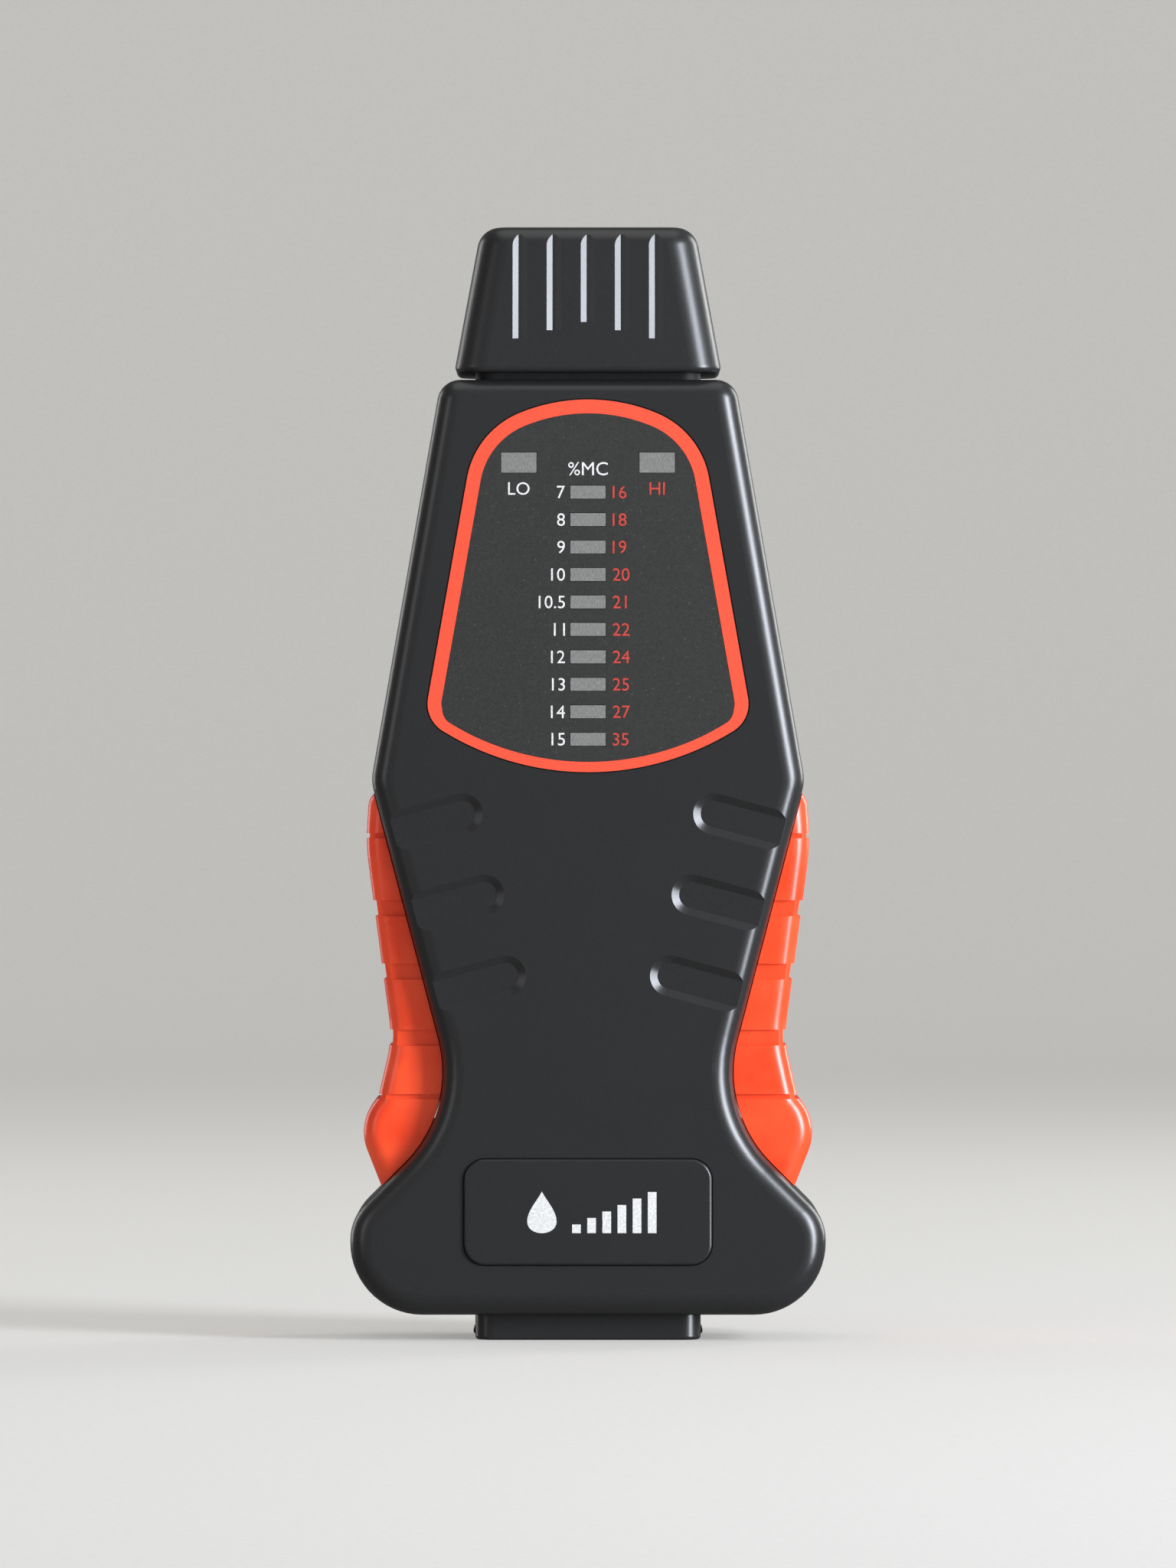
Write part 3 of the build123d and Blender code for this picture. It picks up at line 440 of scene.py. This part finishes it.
badge_low, badge_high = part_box("badge_plate")
badge_middle = (badge_low + badge_high) / 2
DROP_RADIUS = 2.9 * MM
DROP_PLACE = badge_middle.x - 6.4 * MM
BAR_COUNT = 6
BAR_PITCH = 2.1 * MM
BAR_WIDTH = 1.2 * MM
BAR_FIRST = 1.2 * MM
BAR_STEP = 0.9 * MM
BAR_START = badge_middle.x - 1.6 * MM


def drop_outline(radius, middle_x, middle_z, count=72):
    """A water drop, tip up: a circle narrowed towards its top."""
    turns = [math.tau * i / count for i in range(count)]
    return [(middle_x + radius * math.sin(t) * math.sin(t / 2) ** 1.5, middle_z + radius * math.cos(t))
            for t in turns]


def socket_by_name(tree, name):
    """The identifier of a tree's named input."""
    return next(item.identifier for item in tree.interface.items_tree if item.name == name)


def rising_bars_tree():
    """Geometry nodes for a row of upright bars, each a step taller than the last, on one base line."""
    tree = bpy.data.node_groups.new("rising_bars", "GeometryNodeTree")
    for name, kind in (("Count", "NodeSocketInt"), ("Pitch", "NodeSocketFloat"), ("Width", "NodeSocketFloat"),
                       ("Thickness", "NodeSocketFloat"), ("First Height", "NodeSocketFloat"),
                       ("Step", "NodeSocketFloat"), ("Start", "NodeSocketVector"),
                       ("Ink", "NodeSocketMaterial")):
        tree.interface.new_socket(name, in_out="INPUT", socket_type=kind)
    tree.interface.new_socket("Geometry", in_out="OUTPUT", socket_type="NodeSocketGeometry")
    given = add(tree, "NodeGroupInput").outputs
    pitch = add(tree, "ShaderNodeCombineXYZ", links={"X": given["Pitch"]})
    row = add(tree, "GeometryNodeMeshLine", links={"Count": given["Count"], "Start Location": given["Start"],
                                                   "Offset": pitch.outputs["Vector"]})
    index = add(tree, "GeometryNodeInputIndex").outputs["Index"]
    height = add(tree, "ShaderNodeMath", {"operation": "MULTIPLY_ADD"},
                 {0: index, 1: given["Step"], 2: given["First Height"]}).outputs["Value"]
    half = add(tree, "ShaderNodeMath", {"operation": "MULTIPLY", 1: 0.5}, {0: height}).outputs["Value"]
    lift = add(tree, "ShaderNodeCombineXYZ", links={"Z": half})
    raised = add(tree, "GeometryNodeSetPosition",
                 links={"Geometry": row.outputs["Mesh"], "Offset": lift.outputs["Vector"]})
    size = add(tree, "ShaderNodeCombineXYZ",
               links={"X": given["Width"], "Y": given["Thickness"], "Z": height})
    bar = add(tree, "GeometryNodeMeshCube", {"Size": (1, 1, 1)})
    bars = add(tree, "GeometryNodeInstanceOnPoints",
               links={"Points": raised.outputs["Geometry"], "Instance": bar.outputs["Mesh"],
                      "Scale": size.outputs["Vector"]})
    solid = add(tree, "GeometryNodeRealizeInstances", links={"Geometry": bars.outputs["Instances"]})
    inked = add(tree, "GeometryNodeSetMaterial",
                links={"Geometry": solid.outputs["Geometry"], "Material": given["Ink"]})
    add(tree, "NodeGroupOutput", links={"Geometry": inked.outputs["Geometry"]})
    return tree


def mesh_from_tree(tree, values):
    """What a geometry node tree makes with these inputs, as a plain mesh."""
    carrier = bpy.data.objects.new("carrier", bpy.data.meshes.new("carrier"))
    bpy.context.scene.collection.objects.link(carrier)
    modifier = carrier.modifiers.new("make", "NODES")
    modifier.node_group = tree
    for name, value in values.items():
        modifier[socket_by_name(tree, name)] = value
    bpy.context.view_layer.update()
    depsgraph = bpy.context.evaluated_depsgraph_get()
    made = bpy.data.meshes.new_from_object(carrier.evaluated_get(depsgraph))
    bpy.data.objects.remove(carrier)
    return made


drop = slab_mesh(drop_outline(DROP_RADIUS, DROP_PLACE, badge_middle.z),
                 level_at(badge_low.y - INK_THICKNESS), level_at(badge_low.y + INK_KEY))
piece_from("badge_drop", drop, WHITE_INK, "root")
bars = mesh_from_tree(rising_bars_tree(), {
    "Count": BAR_COUNT, "Pitch": BAR_PITCH, "Width": BAR_WIDTH, "Thickness": INK_THICKNESS + INK_KEY,
    "First Height": BAR_FIRST, "Step": BAR_STEP, "Ink": WHITE_INK,
    "Start": (BAR_START, badge_low.y - (INK_THICKNESS - INK_KEY) / 2, badge_middle.z - DROP_RADIUS),
})
piece_from("badge_bars", bars, WHITE_INK, "root")

# ---- Power mark on the button, in the dish for the fingertip -----------------------------------------

DISH_RADIUS = 31.2 * MM
DISH_DEPTH = 0.5 * MM
MARK_OUTER = 2.7 * MM
MARK_STROKE = 0.5 * MM
MARK_GAP_DEGREES = 38.0
STROKE_FOOT = 0.27 * MM
STROKE_HEIGHT = 2.97 * MM
STROKE_POINTS = 7

button_low, button_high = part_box("power_button")
button_level = (button_low.z + button_high.z) / 2


def dish(stand):
    """The depth of the dished face, moved out by stand."""
    def depth(x, z):
        reach_squared = x * x + (z - button_level) ** 2
        sag = DISH_RADIUS - math.sqrt(DISH_RADIUS**2 - reach_squared)
        return button_high.y - DISH_DEPTH + sag + stand
    return depth


def arc(radius, count=48):
    """Points of the mark's open ring, seen from behind, with its gap at the top."""
    turns = np.radians(np.linspace(MARK_GAP_DEGREES, 360 - MARK_GAP_DEGREES, count))
    return [(radius * math.sin(t), button_level + radius * math.cos(t)) for t in turns]


open_ring = strip_mesh(arc(MARK_OUTER), arc(MARK_OUTER - MARK_STROKE),
                       dish(INK_THICKNESS), dish(-INK_KEY), ring=False)
stroke_low = button_level + STROKE_FOOT
stroke_levels = np.linspace(stroke_low, stroke_low + STROKE_HEIGHT, STROKE_POINTS)
stroke_side = MARK_STROKE / 2
stroke = strip_mesh([(-stroke_side, z) for z in stroke_levels], [(stroke_side, z) for z in stroke_levels],
                    dish(INK_THICKNESS), dish(-INK_KEY), ring=False)
piece_from("power_mark", joined([open_ring, stroke]), WHITE_INK, "button")

# ---- Moulded arrow on the battery door ---------------------------------------------------------------

ARROW_WIDTH = 7.0 * MM
ARROW_HEIGHT = 4.2 * MM
ARROW_STAND = 0.25 * MM
ARROW_ROUND = 0.6 * MM
ARROW_BELOW_TOP = 19.0 * MM
ARROW_SOFT_EDGE = 0.1 * MM

door_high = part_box("battery_door")[1]
arrow_top = door_high.z - ARROW_BELOW_TOP
arrow_corners = [(-ARROW_WIDTH / 2, arrow_top), (ARROW_WIDTH / 2, arrow_top), (0, arrow_top - ARROW_HEIGHT)]


def rounded(corners, radius, count=7):
    """An outline through the corners, each turned by a short smooth curve."""
    outline = []
    for i, corner in enumerate(corners):
        here = Vector(corner)
        before = here + (Vector(corners[i - 1]) - here).normalized() * radius
        after = here + (Vector(corners[(i + 1) % len(corners)]) - here).normalized() * radius
        for step in range(count):
            t = step / (count - 1)
            outline.append(tuple(before.lerp(here, t).lerp(here.lerp(after, t), t)))
    return outline


arrow = slab_mesh(rounded(arrow_corners, ARROW_ROUND), level_at(door_high.y + ARROW_STAND),
                  level_at(door_high.y - INK_KEY))
arrow_piece = piece_from("door_arrow", arrow, ABS, "door")
edge_softener = arrow_piece.modifiers.new("soft_edge", "BEVEL")
edge_softener.width = ARROW_SOFT_EDGE
edge_softener.segments = 2

# ---- Camera, lights and backdrop ---------------------------------------------------------------------

CAMERA_HEIGHT = 77.4 * MM
CAMERA_DISTANCE = 1.5
FRAME_HEIGHT = 217.5 * MM
SENSOR_HEIGHT = 24


camera = bpy.data.objects.new("camera", bpy.data.cameras.new("camera"))
bpy.context.scene.collection.objects.link(camera)
camera.location = (0, -CAMERA_DISTANCE, CAMERA_HEIGHT)
camera.rotation_euler = (math.pi / 2, 0, 0)
camera.data.sensor_fit = "VERTICAL"
camera.data.sensor_height = SENSOR_HEIGHT
camera.data.lens = SENSOR_HEIGHT * (CAMERA_DISTANCE + cad_box[0][1]) / FRAME_HEIGHT
camera.data.clip_start = 0.01
bpy.context.scene.camera = camera
bpy.context.scene.view_settings.view_transform = "Standard"


def softbox(name, place, width, height, power, colour="#FFFFFF"):
    """A flat lamp of this size in metres and power in watts, facing the middle of the meter."""
    light = bpy.data.lights.new(name, "AREA")
    light.shape = "RECTANGLE"
    light.size = width
    light.size_y = height
    light.energy = power
    light.color = linear(colour)[:3]
    made = bpy.data.objects.new(name, light)
    bpy.context.scene.collection.objects.link(made)
    made.location = place
    made.rotation_euler = (CENTRE - made.location).to_track_quat("-Z", "Y").to_euler()


CENTRE = Vector((0, 0, 80 * MM))
# The key stands about 55 degrees to the right of the camera, where the left walls of the grooves, the ends of
# the scallops and the rounded right edges mirror it.
softbox("key_right", place=(0.74, -0.52, 0.2), width=0.28, height=0.8, power=23, colour="#ECF1FC")
softbox("fill_left", place=(-0.8, -0.6, 0.25), width=0.25, height=0.6, power=0.8)
softbox("rear_right", place=(0.7, 0.6, 0.35), width=0.25, height=0.6, power=4)
softbox("rear_left", place=(-0.7, 0.6, 0.25), width=0.25, height=0.6, power=1.6)
softbox("overhead", place=(0, 0, 1.2), width=1.0, height=1.0, power=2.6)

SURROUND_STRENGTH = 0.17
world = bpy.data.worlds.new("studio")
bpy.context.scene.world = world
world.use_nodes = True
surround = world.node_tree.nodes["Background"]
surround.inputs["Color"].default_value = linear("#E6E7E9")
surround.inputs["Strength"].default_value = SURROUND_STRENGTH

# ---- Backdrop: a round cove of pale paper ------------------------------------------------------------

COVE_FLOOR = 1.4
COVE_ROUND = 0.8
COVE_TOP = 3.0
COVE_SIDES = 96
COVE_STEPS = 16


def cove_mesh():
    """A floor that sweeps up into a wall all round."""
    profile = [(0.0, 0.0)]
    for step in range(COVE_STEPS + 1):
        turn = math.pi / 2 * step / COVE_STEPS
        profile.append((COVE_FLOOR + COVE_ROUND * math.sin(turn), COVE_ROUND * (1 - math.cos(turn))))
    profile.append((COVE_FLOOR + COVE_ROUND, COVE_TOP))
    rings = [[(r * math.cos(a), r * math.sin(a), z) for a in np.linspace(0, math.tau, COVE_SIDES, False)]
             for r, z in profile[1:]]
    vertices = [point for ring in rings for point in ring]
    faces = [tuple(range(COVE_SIDES))]
    for ring in range(len(rings) - 1):
        for i in range(COVE_SIDES):
            j = (i + 1) % COVE_SIDES
            faces.append(((ring + 1) * COVE_SIDES + i, (ring + 1) * COVE_SIDES + j,
                          ring * COVE_SIDES + j, ring * COVE_SIDES + i))
    mesh = bpy.data.meshes.new("cove")
    mesh.from_pydata(vertices, [], faces)
    mesh.polygons.foreach_set("use_smooth", [True] * len(mesh.polygons))
    return mesh


def pale_paper():
    """Seamless background paper: matt off-white, a little self-lit so that it stays even."""
    material, tree, shader, place = finish_named(
        "pale_paper",
        {"Roughness": 1.0, "Specular IOR Level": 0.0,
         "Emission Color": linear("#E6E5E2"), "Emission Strength": 0.4},
    )
    tint(tree, shader, noise(tree, place, 1.2), "#A3A29F", "#A9A8A5")
    return material


cove = bpy.data.objects.new("studio_cove", cove_mesh())
bpy.context.scene.collection.objects.link(cove)
cove.data.materials.append(pale_paper())
cove.visible_glossy = False
